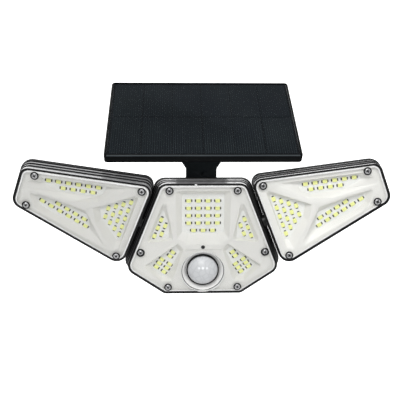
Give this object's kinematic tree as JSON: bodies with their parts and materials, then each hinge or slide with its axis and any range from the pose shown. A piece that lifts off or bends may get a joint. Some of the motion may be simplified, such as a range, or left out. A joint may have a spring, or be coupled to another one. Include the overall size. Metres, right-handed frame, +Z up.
{
  "type": "motion sensor security light",
  "caption": "Solar wall light with a motion sensor in its middle lamp head, a swivelling lamp head on each side, a tilting panel above and a wall bracket behind.",
  "frame": {"origin": "middle of the wall plate's four screw holes, on the plate's back face against the wall", "axes": "+X to the light's right seen from the front of the lamp, +Z up, the lamp shines towards -Y and the wall is on the +Y side"},
  "size_m": [0.2812, 0.0927, 0.1534],
  "materials": {
    "bracket_black": "fine moulded grain",
    "head_black": "satin gloss moulding",
    "panel_black": "fine moulded grain",
    "backsheet": "laminated sheet",
    "solar_cell": "dark cells with fine printed fingers",
    "panel_clear": "clear laminate",
    "bolt_steel": "zinc plated",
    "screw_steel": "nickel plated",
    "seal_rubber": "moulded rubber",
    "reflector_white": "satin white moulding",
    "board_white": "white solder mask",
    "led_phosphor": "phosphor in clear resin",
    "cover_clear": "clear moulded cover",
    "sensor_ring": "gloss",
    "sensor_dome": "frosted moulded lens",
    "sensor_can": "nickel plated can",
    "photo_cell": "clear resin over a light sensor",
    "circuit_green": "solder mask",
    "cell_sleeve": "shrink sleeve over a metal can",
    "holder_black": "moulded",
    "button_rubber": "moulded rubber",
    "shaft_nylon": "nylon",
    "clip_steel": "spring steel"
  },
  "bodies": {
    "bracket": {"wall_bracket": "bracket_black", "lamp_hinge_bolt": "bolt_steel", "lamp_hinge_nut": "bolt_steel", "panel_hinge_bolt": "bolt_steel", "panel_hinge_nut": "bolt_steel"},
    "panel": {"panel_frame": "panel_black", "panel_backsheet": "backsheet", "solar_cells": "solar_cell", "panel_glaze": "panel_clear", "panel_back_cover": "panel_black", "panel_screws": "screw_steel", "panel_grommet": "seal_rubber"},
    "head": {"centre_housing": "head_black", "battery_box": "head_black", "battery_box_screws": "screw_steel", "centre_gasket": "seal_rubber", "centre_reflector": "reflector_white", "centre_led_board": "board_white", "centre_leds": "led_phosphor", "centre_cover": "cover_clear", "centre_screws": "screw_steel", "pir_ring": "sensor_ring", "pir_lens": "sensor_dome", "pir_sensor": "sensor_can", "light_sensor": "photo_cell", "control_board": "circuit_green", "battery_cells": "cell_sleeve", "battery_holder": "holder_black", "lamp_grommet": "seal_rubber"},
    "left_head": {"left_housing": "head_black", "left_gasket": "seal_rubber", "left_reflector": "reflector_white", "left_led_board": "board_white", "left_leds": "led_phosphor", "left_cover": "cover_clear", "left_screws": "screw_steel", "left_shaft": "shaft_nylon", "left_shaft_clip": "clip_steel"},
    "right_head": {"right_housing": "head_black", "right_gasket": "seal_rubber", "right_reflector": "reflector_white", "right_led_board": "board_white", "right_leds": "led_phosphor", "right_cover": "cover_clear", "right_screws": "screw_steel", "right_shaft": "shaft_nylon", "right_shaft_clip": "clip_steel"},
    "button": {"mode_button": "button_rubber"}
  },
  "joints": [
    {"name": "lamp_tilt", "type": "hinge", "parent": "bracket", "child": "head", "pos_m": [0, -0.036, 0], "axis": [1, 0, 0], "range_deg": [-12, 45]},
    {"name": "panel_tilt", "type": "hinge", "parent": "bracket", "child": "panel", "pos_m": [0, -0.03837, 0.06791], "axis": [1, 0, 0], "range_deg": [-29, 8]},
    {"name": "left_swivel", "type": "hinge", "parent": "head", "child": "left_head", "pos_m": [-0.0462, -0.077, 0.008], "axis": [0.9285, 0, -0.3714], "range_deg": [-50.5, 54.5]},
    {"name": "right_swivel", "type": "hinge", "parent": "head", "child": "right_head", "pos_m": [0.0462, -0.077, 0.008], "axis": [0.9285, 0, 0.3714], "range_deg": [-35.5, 69.5]},
    {"name": "mode_press", "type": "slide", "parent": "head", "child": "button", "axis": [0, -1, 0], "range_m": [0, 0.0012], "stiffness_N_per_m": 600, "springref_m": -0.0005}
  ]
}
